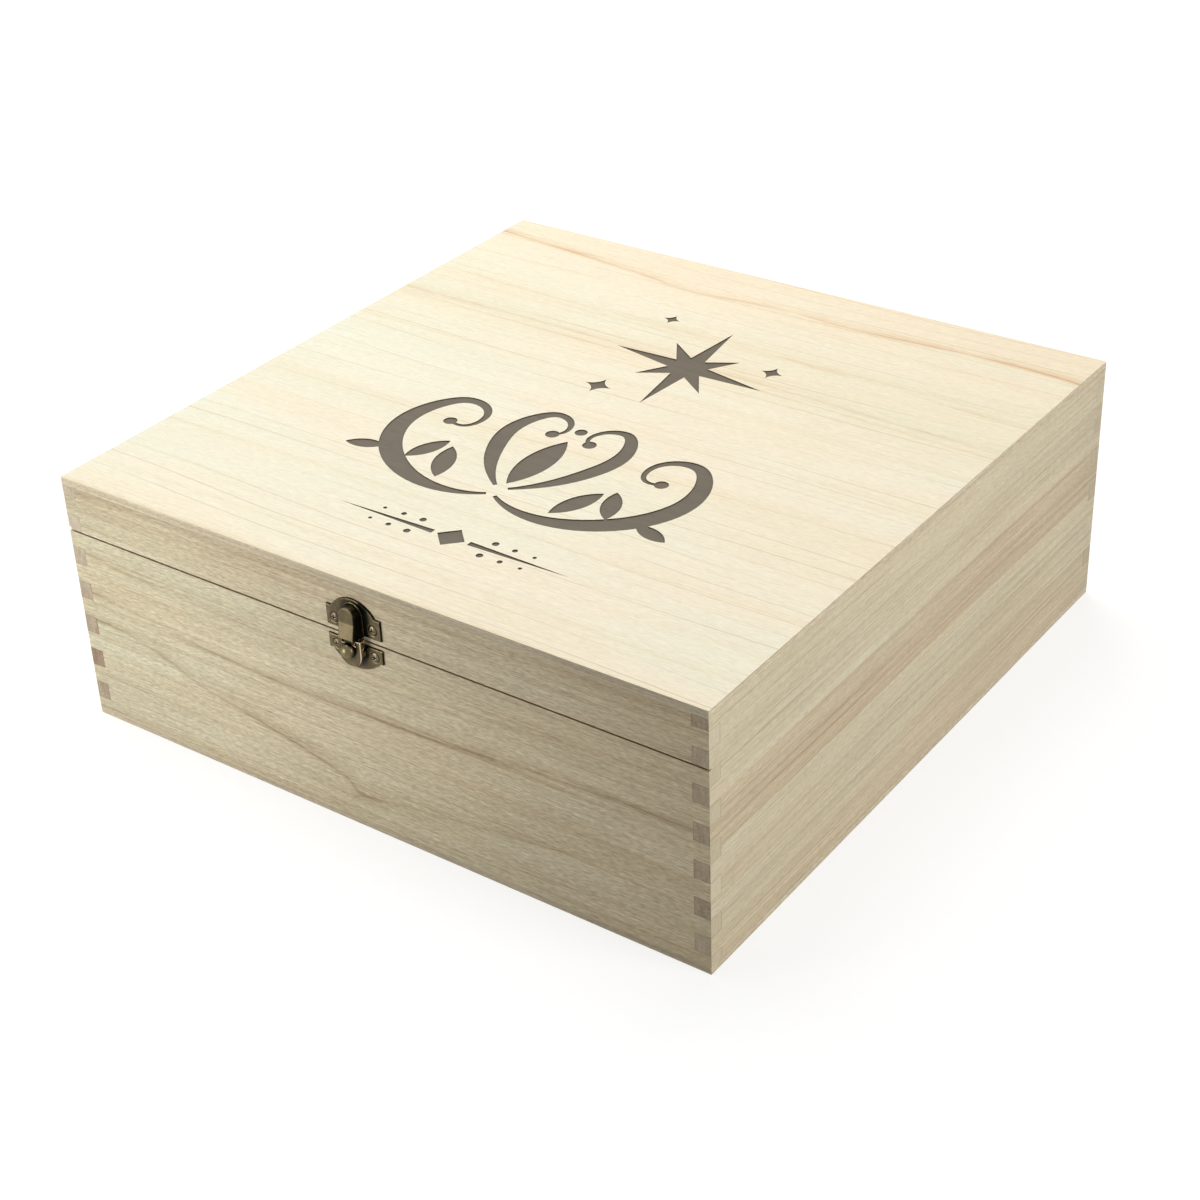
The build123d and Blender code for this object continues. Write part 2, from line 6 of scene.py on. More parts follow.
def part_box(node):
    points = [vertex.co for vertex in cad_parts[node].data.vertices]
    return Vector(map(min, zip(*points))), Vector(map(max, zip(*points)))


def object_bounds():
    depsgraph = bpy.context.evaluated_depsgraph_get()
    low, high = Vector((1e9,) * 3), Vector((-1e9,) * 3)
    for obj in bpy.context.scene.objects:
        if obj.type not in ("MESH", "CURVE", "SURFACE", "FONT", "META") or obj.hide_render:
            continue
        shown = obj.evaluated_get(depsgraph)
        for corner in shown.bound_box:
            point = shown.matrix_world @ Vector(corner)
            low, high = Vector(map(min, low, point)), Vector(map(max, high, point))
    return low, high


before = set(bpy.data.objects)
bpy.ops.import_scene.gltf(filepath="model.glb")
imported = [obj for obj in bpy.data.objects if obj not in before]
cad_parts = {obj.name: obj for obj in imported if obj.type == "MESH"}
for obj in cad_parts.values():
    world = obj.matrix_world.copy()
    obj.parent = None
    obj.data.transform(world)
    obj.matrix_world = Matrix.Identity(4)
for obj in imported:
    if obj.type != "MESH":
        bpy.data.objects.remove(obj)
cadLow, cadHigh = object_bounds()
print("frame loaded with", len(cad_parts), "nodes")

mm = 0.001  # the frame is in metres, and the sizes below are in millimetres


def hexColour(code):
    # an sRGB hex value as the linear colour that a shader takes
    channels = [int(code[i:i + 2], 16) / 255 for i in (1, 3, 5)]
    linear = [c / 12.92 if c <= 0.04045 else ((c + 0.055) / 1.055) ** 2.4 for c in channels]
    return (*linear, 1.0)


def addNode(tree, kind, settings=None, links=None):
    # one node with its settings and its incoming links
    node = tree.nodes.new(kind)
    for name, value in (settings or {}).items():
        if isinstance(name, int) or name in node.inputs:
            node.inputs[name].default_value = value
        else:
            setattr(node, name, value)
    for name, source in (links or {}).items():
        tree.links.new(source, node.inputs[name])
    return node


def newMaterial(name):
    material = bpy.data.materials.new(name)
    material.use_nodes = True
    material.node_tree.nodes.clear()
    return material, material.node_tree


def setRamp(ramp, stops):
    # stops are (place from 0 to 1, colour)
    elements = ramp.color_ramp.elements
    while len(elements) > 1:
        elements.remove(elements[-1])
    elements[0].position, elements[0].color = stops[0]
    for place, colour in stops[1:]:
        elements.new(place).color = colour


def greyStops(pairs):
    return [(place, (value, value, value, 1.0)) for place, value in pairs]


def paint(node, material):
    # the CAD mesh stays as it is, and only its material slots are filled
    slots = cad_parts[node].data.materials
    if len(slots) == 0:
        slots.append(material)
    for index in range(len(slots)):
        slots[index] = material


# ---- places on a board, in millimetres along the grain, across it and through the board ----

def boardPlace(tree, axes, lean):
    coordinates = addNode(tree, "ShaderNodeTexCoord")
    scaled = addNode(tree, "ShaderNodeVectorMath", {"operation": "SCALE", "Scale": 1 / mm},
                     {0: coordinates.outputs["Object"]})
    parts = addNode(tree, "ShaderNodeSeparateXYZ", {}, {0: scaled.outputs[0]})
    normal = addNode(tree, "ShaderNodeSeparateXYZ", {}, {0: coordinates.outputs["Normal"]})
    along, across, through = [parts.outputs["XYZ".index(axis)] for axis in axes]
    vector = addNode(tree, "ShaderNodeCombineXYZ", {}, {0: along, 1: across, 2: through})
    leaning = addNode(tree, "ShaderNodeMath", {"operation": "MULTIPLY_ADD", 1: lean}, {0: along, 2: across})
    slanted = addNode(tree, "ShaderNodeCombineXYZ", {}, {0: along, 1: leaning.outputs[0], 2: through})
    facing = addNode(tree, "ShaderNodeMath", {"operation": "ABSOLUTE"},
                     {0: normal.outputs["XYZ".index(axes[0])]})
    endGrain = addNode(tree, "ShaderNodeMath", {"operation": "GREATER_THAN", 1: 0.6},
                       {0: facing.outputs[0]})
    return {"vector": vector.outputs[0], "slanted": slanted.outputs[0], "along": along, "across": across,
            "x": parts.outputs[0], "y": parts.outputs[1], "z": parts.outputs[2],
            "normal": normal.outputs, "endGrain": endGrain.outputs[0]}


def grainNoise(tree, vector, size, seed, detail=2.0, rough=0.5):
    # blobs that are size millimetres long, wide and deep
    stretched = addNode(tree, "ShaderNodeVectorMath", {"operation": "DIVIDE", 1: size}, {0: vector})
    moved = addNode(tree, "ShaderNodeVectorMath", {"operation": "ADD", 1: (seed, 3.7 * seed, 7.1 * seed)},
                    {0: stretched.outputs[0]})
    noise = addNode(tree, "ShaderNodeTexNoise", {"Scale": 1.0, "Detail": detail, "Roughness": rough},
                    {"Vector": moved.outputs[0]})
    return noise.outputs[0]


def layerSum(tree, layers, start=0.0):
    # start plus each layer times its share
    total = None
    for socket, share in layers:
        step = addNode(tree, "ShaderNodeMath", {"operation": "MULTIPLY_ADD", 1: share, 2: start},
                       {0: socket})
        if total is not None:
            tree.links.new(total, step.inputs[2])
        total = step.outputs[0]
    return total


def runLayers(tree, place, runs):
    # runs are (axis, start, end, share): each grows to its share between two places on the box
    layers = []
    for axis, start, end, share in runs:
        run = addNode(tree, "ShaderNodeMapRange", {"From Min": start, "From Max": end}, {"Value": place[axis]})
        layers.append((run.outputs[0], share))
    return layers


def ringBands(tree, place, rings, low, high, wander):
    # rings are (place across the board, tone); between them the tone runs from one to the next
    drift = grainNoise(tree, place["vector"], (160, 60, 60), wander["seed"], 1.0)
    ripple = grainNoise(tree, place["vector"], (22, 12, 12), wander["seed"] + 5, 2.0)
    moved = layerSum(tree, [(drift, wander["drift"]), (ripple, wander["ripple"]), (place["across"], 1.0)],
                     -(wander["drift"] + wander["ripple"]) / 2)
    share = addNode(tree, "ShaderNodeMapRange", {"From Min": low, "From Max": high}, {"Value": moved})
    ramp = addNode(tree, "ShaderNodeValToRGB", {}, {0: share.outputs[0]})
    setRamp(ramp, greyStops([((spot - low) / (high - low), tone) for spot, tone in rings]))
    return ramp.outputs[0]


def ringLine(tree, place, line, low, high):
    # one growth ring on its own course along the board: a thin dark line with a soft shade beside it
    share = addNode(tree, "ShaderNodeMapRange", {"From Min": -150, "From Max": 150},
                    {"Value": place["along"]})
    course = addNode(tree, "ShaderNodeFloatCurve", {}, {"Value": share.outputs[0]})
    points = course.mapping.curves[0].points
    spots = [((along + 150) / 300, (spot - low) / (high - low)) for along, spot in line["course"]]
    points[0].location = spots[0]
    points[1].location = spots[-1]
    for spot in spots[1:-1]:
        points.new(*spot)
    course.mapping.update()
    ripple = grainNoise(tree, place["vector"], (16, 9, 9), line["seed"], 2.0)
    height = addNode(tree, "ShaderNodeMapRange", {"To Min": low, "To Max": high, "clamp": False},
                     {"Value": course.outputs[0]})
    wavy = layerSum(tree, [(ripple, line["ripple"]), (height.outputs[0], 1.0)], -line["ripple"] / 2)
    above = addNode(tree, "ShaderNodeMath", {"operation": "SUBTRACT"}, {0: place["across"], 1: wavy})
    below, over = line["shade"]
    core = line["core"]
    reach = max(below, over) + core
    side = addNode(tree, "ShaderNodeMapRange", {"From Min": -reach, "From Max": reach},
                   {"Value": above.outputs[0]})
    ramp = addNode(tree, "ShaderNodeValToRGB", {}, {0: side.outputs[0]})
    spread = [(-below, 0), (-core, 0.4), (0, 1), (core, 0.4), (over, 0)]
    setRamp(ramp, greyStops([(0.5 + spot / 2 / reach, value) for spot, value in spread]))
    fade = grainNoise(tree, place["vector"], (38, 14, 14), line["seed"] + 2, 1.0)
    strength = addNode(tree, "ShaderNodeMapRange", {"From Min": 0.34, "From Max": 0.62,
                       "To Min": 0.3 * line["tone"], "To Max": line["tone"]}, {"Value": fade})
    shown = addNode(tree, "ShaderNodeMath", {"operation": "MULTIPLY"},
                    {0: ramp.outputs[0], 1: strength.outputs[0]})
    if "fainter" in line:
        start, end, left = line["fainter"]  # fades to what is left of it between two places along the board
        fainter = addNode(tree, "ShaderNodeMapRange", {"From Min": start, "From Max": end,
                          "To Min": 1.0, "To Max": left}, {"Value": place["along"]})
        shown = addNode(tree, "ShaderNodeMath", {"operation": "MULTIPLY"},
                        {0: shown.outputs[0], 1: fainter.outputs[0]})
    return shown.outputs[0]


def hairLines(tree, place, hairs, seed):
    # crisp thin lines along the grain, where the growth rings end; they wander, and each comes and goes
    slow = grainNoise(tree, place["vector"], hairs["size"], seed, 1.0)
    steps = layerSum(tree, [(slow, hairs["wander"]), (place["across"], 1 / hairs["step"])], 100.0)
    toStep = addNode(tree, "ShaderNodeMath", {"operation": "PINGPONG", 1: 0.5}, {0: steps})
    line = addNode(tree, "ShaderNodeMapRange", {"From Min": hairs["width"], "From Max": 0.0},
                   {"Value": toStep.outputs[0]})
    fade = grainNoise(tree, place["vector"], hairs["run"], seed + 1, 1.0)
    shown = addNode(tree, "ShaderNodeMapRange", {"From Min": 0.4, "From Max": 0.62, "To Max": hairs["tone"]},
                    {"Value": fade})
    hair = addNode(tree, "ShaderNodeMath", {"operation": "MULTIPLY"},
                   {0: line.outputs[0], 1: shown.outputs[0]})
    return hair.outputs[0]


def woodColour(tree, place, look):
    # pale early wood and browner late wood in bands and lines, then fibres, pores and soft blotches
    seed = look["seed"]
    low, high = look["span"]
    bands = grainNoise(tree, place["vector"], (260, look["bandWidth"], 9), seed, 2.0, 0.55)
    strands = grainNoise(tree, place["vector"], (60, 1.2, 1.2), seed + 2, 2.0, 0.6)
    fibres = grainNoise(tree, place["slanted"], (9, 0.75, 0.75), seed + 1, 2.0, 0.6)
    thread = grainNoise(tree, place["vector"], (150, 1.5, 1.5), seed + 6, 1.0)
    threads = addNode(tree, "ShaderNodeMapRange", {"From Min": 0.58, "From Max": 0.7}, {"Value": thread})
    layers = [(bands, look["bands"]), (strands, look["strands"]), (fibres, look["fibres"]),
              (threads.outputs[0], look["threads"])]
    start = look["ground"] - (look["bands"] + look["strands"] + look["fibres"]) / 2
    if look["rings"]:
        layers.append((ringBands(tree, place, look["rings"], low, high, look["wander"]), 1.0))
    for line in look["lines"]:
        layers.append((ringLine(tree, place, line, low, high), 1.0))
    tone = layerSum(tree, layers, start)
    ramp = addNode(tree, "ShaderNodeValToRGB", {}, {0: tone})
    setRamp(ramp, [(0.0, hexColour(look["pale"])), (0.35, hexColour(look["middle"])),
                   (1.0, hexColour(look["dark"]))])

    # mineral tint: slow drifts between a greener and a rosier tan
    drift = grainNoise(tree, place["vector"], (130, 22, 22), seed + 7, 1.0)
    spread = addNode(tree, "ShaderNodeMapRange", {"From Min": 0.35, "From Max": 0.65}, {"Value": drift})
    tints = [(spread.outputs[0], look["rosyDrift"]), *runLayers(tree, place, look["rosyRuns"])]
    rosy = addNode(tree, "ShaderNodeClamp", {}, {0: layerSum(tree, tints, look["rosyStart"])})
    tint = addNode(tree, "ShaderNodeMix", {"data_type": "RGBA", 6: hexColour(look["greenTint"]),
                   7: hexColour(look["rosyTint"])}, {"Factor": rosy.outputs[0]})
    tinted = addNode(tree, "ShaderNodeVectorMath", {"operation": "MULTIPLY"},
                     {0: ramp.outputs[0], 1: tint.outputs[2]})

    blotch = grainNoise(tree, place["vector"], (60, 30, 30), seed + 3, 1.0)
    pores = grainNoise(tree, place["slanted"], look["poreSize"], seed + 4, 1.0)
    poreTone = addNode(tree, "ShaderNodeMapRange", {"From Min": 0.56, "From Max": 0.74}, {"Value": pores})
    # flecks: the real ones are about 0.1 mm wide, drawn four times as coarse so that they show
    flecks = grainNoise(tree, place["slanted"], look["fleckSize"], seed + 8, 1.0)
    hairs = hairLines(tree, place, look["hairs"], seed + 9)
    shade = layerSum(tree, [(poreTone.outputs[0], -look["pores"]), (blotch, look["blotch"]),
                            (flecks, look["flecks"]), *runLayers(tree, place, look["shadeRuns"])],
                     1.0 - (look["blotch"] + look["flecks"]) / 2)
    plain = addNode(tree, "ShaderNodeVectorMath", {"operation": "SCALE"},
                    {0: tinted.outputs[0], "Scale": shade})
    colour = addNode(tree, "ShaderNodeMix", {"data_type": "RGBA", 7: hexColour(look["hairs"]["colour"])},
                     {"Factor": hairs, 6: plain.outputs[0]})
    return colour.outputs[2], poreTone.outputs[0], fibres


def fingerNumber(tree, place):
    # fingers are 8 mm high, and the lid's sit 1.2 mm lower by the width of the saw cut
    isLid = addNode(tree, "ShaderNodeMath", {"operation": "GREATER_THAN", 1: 87.2}, {0: place["z"]})
    lifted = addNode(tree, "ShaderNodeMath", {"operation": "MULTIPLY_ADD", 1: 1.2},
                     {0: isLid.outputs[0], 2: place["z"]})
    fingers = addNode(tree, "ShaderNodeMath", {"operation": "DIVIDE", 1: 8.0}, {0: lifted.outputs[0]})
    return fingers.outputs[0]


def endGrainColour(tree, place, look):
    # end grain drinks light: cut-open pores as fine dark dots, faint arcs of the rings, and each
    # finger a little different, with a thin line of glue round it
    arcs = grainNoise(tree, place["vector"], (400, 7, 1.4), look["seed"] + 11, 2.0)
    dots = grainNoise(tree, place["vector"], (400, 0.7, 0.7), look["seed"] + 12, 2.0)
    count = fingerNumber(tree, place)
    whole = addNode(tree, "ShaderNodeMath", {"operation": "FLOOR"}, {0: count})
    own = addNode(tree, "ShaderNodeTexWhiteNoise", {"noise_dimensions": "1D"}, {"W": whole.outputs[0]})
    tone = layerSum(tree, [(arcs, 0.7), (dots, 0.8), (own.outputs["Value"], 0.5),
                           *runLayers(tree, place, look["endRuns"])], -0.5)
    ramp = addNode(tree, "ShaderNodeValToRGB", {}, {0: tone})
    setRamp(ramp, [(0.1, hexColour(look["endPale"])), (0.9, hexColour(look["endDark"]))])

    toEdge = addNode(tree, "ShaderNodeMath", {"operation": "PINGPONG", 1: 0.5}, {0: count})
    level = addNode(tree, "ShaderNodeMapRange", {"From Min": 0.02, "From Max": 0.05}, {"Value": toEdge.outputs[0]})
    reach = addNode(tree, "ShaderNodeMath", {"operation": "ABSOLUTE"}, {0: place[look["endAcross"]]})
    upright = addNode(tree, "ShaderNodeMapRange", {"From Min": 143.25, "From Max": 143.75},
                      {"Value": reach.outputs[0]})
    clear = addNode(tree, "ShaderNodeMath", {"operation": "MINIMUM"},
                    {0: level.outputs[0], 1: upright.outputs[0]})
    glue = addNode(tree, "ShaderNodeMapRange", {"To Min": 1 - look["glueLine"], "To Max": 1.0},
                   {"Value": clear.outputs[0]})
    colour = addNode(tree, "ShaderNodeVectorMath", {"operation": "SCALE"},
                     {0: ramp.outputs[0], "Scale": glue.outputs[0]})
    return colour.outputs[0]


def seamShade(tree, place):
    # painted shade: the bevelled groove in the front of the seam is darkened by ambient occlusion while the lid is
    # shut on it
    height = addNode(tree, "ShaderNodeMath", {"operation": "SUBTRACT", 1: 87.2}, {0: place["z"]})
    height = addNode(tree, "ShaderNodeMath", {"operation": "ABSOLUTE"}, {0: height.outputs[0]})
    level = addNode(tree, "ShaderNodeMath", {"operation": "LESS_THAN", 1: 0.41}, {0: height.outputs[0]})
    isFront = addNode(tree, "ShaderNodeMath", {"operation": "LESS_THAN", 1: -148.3}, {0: place["y"]})
    inside = addNode(tree, "ShaderNodeMath", {"operation": "MULTIPLY"},
                     {0: level.outputs[0], 1: isFront.outputs[0]})
    hollow = addNode(tree, "ShaderNodeAmbientOcclusion", {"Distance": 2.5 * mm, "samples": 4})
    depth = addNode(tree, "ShaderNodeMapRange", {"From Min": 0.8, "From Max": 0.3, "To Max": 0.88},
                    {"Value": hollow.outputs["AO"]})
    dark = addNode(tree, "ShaderNodeMath", {"operation": "MULTIPLY"},
                   {0: depth.outputs[0], 1: inside.outputs[0]})
    return dark.outputs[0]


def nickShade(tree, place, nick):
    # one small dark knock in the face of a board
    spot = addNode(tree, "ShaderNodeCombineXYZ", {}, {0: place["along"], 1: place["across"]})
    away = addNode(tree, "ShaderNodeVectorMath", {"operation": "DISTANCE", 1: (*nick["place"], 0)},
                   {0: spot.outputs[0]})
    dark = addNode(tree, "ShaderNodeMapRange", {"From Min": nick["size"], "From Max": nick["size"] / 2},
                   {"Value": away.outputs["Value"]})
    return dark.outputs[0]


def finishWood(tree, colour, pores, fibres, roughness):
    height = layerSum(tree, [(pores, -0.8), (fibres, 0.6)])
    bump = addNode(tree, "ShaderNodeBump", {"Strength": 0.6, "Distance": 0.07 * mm}, {"Height": height})
    shader = addNode(tree, "ShaderNodeBsdfPrincipled", {"Roughness": roughness, "IOR": 1.45},
                     {"Base Color": colour, "Normal": bump.outputs[0]})
    addNode(tree, "ShaderNodeOutputMaterial", {}, {"Surface": shader.outputs[0]})


def solidPaulownia(name, look):
    # finely sanded bare paulownia boards: dull, pale tan, with the soft bands and fine pores that show
    material, tree = newMaterial(name)
    place = boardPlace(tree, look["axes"], look["lean"])
    long, pores, fibres = woodColour(tree, place, look)
    end = endGrainColour(tree, place, look)
    colour = addNode(tree, "ShaderNodeMix", {"data_type": "RGBA"},
                     {"Factor": place["endGrain"], 6: long, 7: end})
    # painted shade in the bevelled seam groove, from seamShade
    shaded = addNode(tree, "ShaderNodeMix", {"data_type": "RGBA", 7: hexColour(look["seam"])},
                     {"Factor": seamShade(tree, place), 6: colour.outputs[2]})
    finished = shaded.outputs[2]
    if look["nick"]:
        marked = addNode(tree, "ShaderNodeMix", {"data_type": "RGBA", 7: hexColour(look["nick"]["colour"])},
                         {"Factor": nickShade(tree, place, look["nick"]), 6: finished})
        finished = marked.outputs[2]
    finishWood(tree, finished, pores, fibres, 0.62)
    return material


# ---- the solid boards: a lid rail is sawn from the same board as the wall below it ----

boardGround = {
    # the seam colour is painted shade for the groove in front of the saw cut
    "pale": "#ddd5bb", "middle": "#cec2a4", "dark": "#a38d70", "seam": "#74431f",
    "greenTint": "#f9fcfa", "rosyTint": "#fff7f0", "rosyStart": 0.0, "rosyDrift": 1.0, "rosyRuns": [],
    "shadeRuns": [], "endRuns": [], "nick": None, "lean": -0.04, "flecks": 0.6, "fleckSize": (3.0, 0.36, 0.36),
    "hairs": {"size": (300, 30, 30), "wander": 3.0, "step": 4.5, "width": 0.06, "run": (60, 4, 4),
              "tone": 0.36, "colour": "#8d7857"},
    "endPale": "#b5a68d", "endDark": "#84705a", "glueLine": 0.25,
    "ground": 0.24, "bands": 0.5, "strands": 0.55, "fibres": 0.4, "threads": 0.16,
    "bandWidth": 9.0, "blotch": 0.1, "pores": 0.13, "poreSize": (3.6, 0.4, 0.4),
    "span": (0, 110), "wander": {"drift": 5.0, "ripple": 1.0, "seed": 3},
}

frontBoard = dict(
    boardGround, axes="XZY", endAcross="y", seed=21, endPale="#d2c6aa", endDark="#bbad8f", glueLine=0.3,
    # painted light: the front turns warmer and darker towards the right, where less of the cool front-left light
    # falls; it is also darker from 72 mm up to 92 mm
    pores=0.2, poreSize=(4.5, 0.34, 0.34), flecks=0.95, strands=0.75, rosyDrift=0.5, rosyRuns=[("x", -150, 150, 0.7)],
    shadeRuns=[("x", -20, 90, -0.025), ("z", 72, 92, -0.03)],
    rings=[(0, 0.05), (18, 0.02), (73, 0.0), (84, 0.02), (87.5, 0.05), (91, 0.16), (92.5, 0.04),
           (96, 0.05), (97.5, 0.22), (99, 0.1), (101, 0.3), (102.5, 0.12), (105, 0.36), (107, 0.2), (110, 0.1)],
    lines=[
        {"course": [(-150, 60), (-120, 58.4), (-90, 55), (-60, 53), (-30, 52.6), (0, 53.2), (30, 54.2),
                    (60, 56.8), (90, 58.6), (120, 59.8), (150, 60)],
         "core": 0.8, "shade": (2.6, 4.5), "tone": 0.62, "ripple": 0.9, "seed": 41},
        {"course": [(-150, 46.8), (-130, 46.8), (-110, 43), (-90, 36.4), (-70, 32), (-50, 28.4),
                    (-30, 24.4), (-14, 19.8), (-7, 14.8), (10, 17), (150, 36)],
         "core": 0.8, "shade": (2.4, 9.0), "tone": 0.7, "ripple": 1.2, "seed": 47, "fainter": (-14, 20, 0.4)},
        {"course": [(-150, 79), (-110, 75), (-60, 73.4), (-10, 73.4), (60, 73.8), (100, 76), (150, 79)],
         "core": 0.8, "shade": (2.4, 4.0), "tone": 0.36, "ripple": 1.0, "seed": 53},
        {"course": [(-150, -20), (-30, 2), (-14, 9), (-7, 14), (6, 16), (60, 24), (150, 32)],
         "core": 1.0, "shade": (8.0, 6.0), "tone": 0.5, "ripple": 1.2, "seed": 59, "fainter": (-24, 4, 0.4)},
        {"course": [(-150, -30), (0, -6), (30, 5), (90, 12), (150, 16)],
         "core": 0.8, "shade": (3.0, 6.0), "tone": 0.34, "ripple": 1.0, "seed": 61},
    ],
)

rightBoard = dict(
    boardGround, axes="YZX", endAcross="x", seed=34, endPale="#c6b79d", endDark="#917c64",
    greenTint="#f8fbfd", rosyTint="#fff7f3", shadeRuns=[("y", 118, 148, -0.075)], bands=0.22, threads=0.24, flecks=0.5,
    rosyStart=0.28, rosyDrift=0.4, rosyRuns=[("z", 52.2, 52.8, 0.35), ("z", 72.4, 73.2, -0.35), ("z", 22, 6, 0.4)],
    nick={"place": (148.2, 53.1), "size": 0.9, "colour": "#3d3226"},
    rings=[(0, 0.1), (5, 0.18), (8, 0.06), (14.5, 0.22), (16, 0.05), (23.5, 0.24), (25, 0.04),
           (30, 0.05), (31, 0.2), (32, 0.05), (38, 0.2), (39.5, 0.06), (41, 0.16), (43, 0.04),
           (52.1, 0.04), (52.6, 0.38), (57, 0.2), (58.5, 0.4), (60, 0.2), (63, 0.36), (65, 0.22),
           (71.5, 0.24), (72.6, 0.34), (73.2, 0.04), (78, 0.02), (80, 0.14), (82, 0.02), (84, 0.2),
           (85.5, 0.04), (91.5, 0.14), (93, 0.04), (110, 0.04)],
    lines=[],
)

leftBoard = dict(
    boardGround, axes="YZX", endAcross="x", seed=55, endPale="#c8bba3", endDark="#8c735a",
    endRuns=[("z", 105, 5, 0.55), ("z", 0, 1, -0.3)],
    rings=[(0, 0.1), (12, 0.04), (19, 0.26), (21, 0.05), (34, 0.2), (36, 0.04), (47, 0.28),
           (49, 0.06), (66, 0.2), (68, 0.04), (79, 0.1), (92, 0.24), (94, 0.04), (103, 0.16), (110, 0.06)],
    lines=[],
)

backBoard = dict(
    boardGround, axes="XZY", endAcross="y", seed=68, endPale="#cdc2a6", endDark="#ab9b80", glueLine=0.15,
    rings=[(0, 0.08), (9, 0.22), (11, 0.04), (27, 0.16), (40, 0.04), (43, 0.26), (46, 0.05),
           (61, 0.22), (64, 0.04), (83, 0.2), (85, 0.04), (99, 0.24), (102, 0.05), (110, 0.1)],
    lines=[],
)

boards = {
    "front": (frontBoard, ["base_front_wall", "lid_front_rail"]),
    "right": (rightBoard, ["base_right_wall", "lid_right_rail"]),
    "left": (leftBoard, ["base_left_wall", "lid_left_rail"]),
    "back": (backBoard, ["base_back_wall", "lid_back_rail"]),
}
for side, (look, members) in boards.items():
    wood = solidPaulownia("sandedPaulownia_" + side, look)
    for member in members:
        paint(member, wood)
print("boards painted")


# ---- the two three-ply panels ----

def plyEdgeColour(tree, place, look, low, high):
    # three plies from the bottom up: face grain, crossed core, face grain, with lines of glue as dark as glueTone,
    # which the panels set to none
    core, glue = look["facePly"], look["glueWidth"]
    share = addNode(tree, "ShaderNodeMapRange", {"From Min": low.z / mm, "From Max": high.z / mm},
                    {"Value": place["z"]})
    isCore = addNode(tree, "ShaderNodeValToRGB", {}, {0: share.outputs[0]})
    isCore.color_ramp.interpolation = "CONSTANT"
    setRamp(isCore, greyStops([(0, 0), (core, 1), (1 - core, 0)]))
    side = addNode(tree, "ShaderNodeMath", {"operation": "ABSOLUTE"}, {0: place["normal"][0]})
    side = addNode(tree, "ShaderNodeMath", {"operation": "GREATER_THAN", 1: 0.6}, {0: side.outputs[0]})
    isEnd = addNode(tree, "ShaderNodeMath", {"operation": "SUBTRACT"}, {0: isCore.outputs[0], 1: side.outputs[0]})
    isEnd = addNode(tree, "ShaderNodeMath", {"operation": "ABSOLUTE"}, {0: isEnd.outputs[0]})
    streaks = grainNoise(tree, place["vector"], (40, 40, 0.7), look["seed"] + 21, 2.0)
    dots = grainNoise(tree, place["vector"], (2.4, 2.4, 0.4), look["seed"] + 22, 2.0)
    tone = layerSum(tree, [(isEnd.outputs[0], 0.12), (streaks, 1.1), (dots, 1.2)], -0.8)
    wood = addNode(tree, "ShaderNodeValToRGB", {}, {0: tone})
    setRamp(wood, [(0.0, hexColour(look["edgePale"])), (1.0, hexColour(look["edgeDark"]))])
    isGlue = addNode(tree, "ShaderNodeValToRGB", {}, {0: share.outputs[0]})
    setRamp(isGlue, greyStops([(core - glue, 0), (core, look["glueTone"]), (core + glue, 0),
                               (1 - core - glue, 0), (1 - core, look["glueTone"]), (1 - core + glue, 0)]))
    colour = addNode(tree, "ShaderNodeMix", {"data_type": "RGBA", 7: hexColour(look["glue"])},
                     {"Factor": isGlue.outputs[0], 6: wood.outputs[0]})
    lift = layerSum(tree, runLayers(tree, place, look["edgeRuns"]), 1.0)
    edge = addNode(tree, "ShaderNodeVectorMath", {"operation": "SCALE"}, {0: colour.outputs[2], "Scale": lift})
    return edge.outputs[0]


def burntColour(tree, place, look):
    # the laser leaves flat brown scorched wood; the darker band along the foot of the cut is painted shade from
    # ambient occlusion
    grain = grainNoise(tree, place["vector"], (14, 0.8, 0.8), look["seed"] + 17, 3.0)
    cloud = grainNoise(tree, place["vector"], (9, 4, 4), look["seed"] + 18, 2.0)
    tone = layerSum(tree, [(grain, 0.7), (cloud, 0.5)], -0.1)
    ramp = addNode(tree, "ShaderNodeValToRGB", {}, {0: tone})
    setRamp(ramp, [(0.15, hexColour(look["burntDark"])), (0.85, hexColour(look["burntPale"]))])
    hollow = addNode(tree, "ShaderNodeAmbientOcclusion", {"Distance": 1.2 * mm, "samples": 4})
    footShade = addNode(tree, "ShaderNodeMapRange", {"From Min": 0.55, "From Max": 1.0,
                   "To Min": look["burntFootShade"], "To Max": 1.0}, {"Value": hollow.outputs["AO"]})
    colour = addNode(tree, "ShaderNodeVectorMath", {"operation": "SCALE"},
                     {0: ramp.outputs[0], "Scale": footShade.outputs[0]})
    return colour.outputs[0]


def burntMask(tree, place, high):
    # the engraving is all that lies just below the face, away from the panel's outline
    mask = addNode(tree, "ShaderNodeMapRange", {"From Min": high.z / mm - 0.02, "From Max": high.z / mm - 0.08},
                   {"Value": place["z"]}).outputs[0]
    tests = [(place["z"], "GREATER_THAN", high.z / mm - 1.0)]
    for axis, limit in (("x", high.x), ("y", high.y)):
        reach = addNode(tree, "ShaderNodeMath", {"operation": "ABSOLUTE"}, {0: place[axis]})
        tests.append((reach.outputs[0], "LESS_THAN", limit / mm - 1.0))
    for socket, test, limit in tests:
        passed = addNode(tree, "ShaderNodeMath", {"operation": test, 1: limit}, {0: socket})
        mask = addNode(tree, "ShaderNodeMath", {"operation": "MULTIPLY"},
                       {0: mask, 1: passed.outputs[0]}).outputs[0]
    return mask


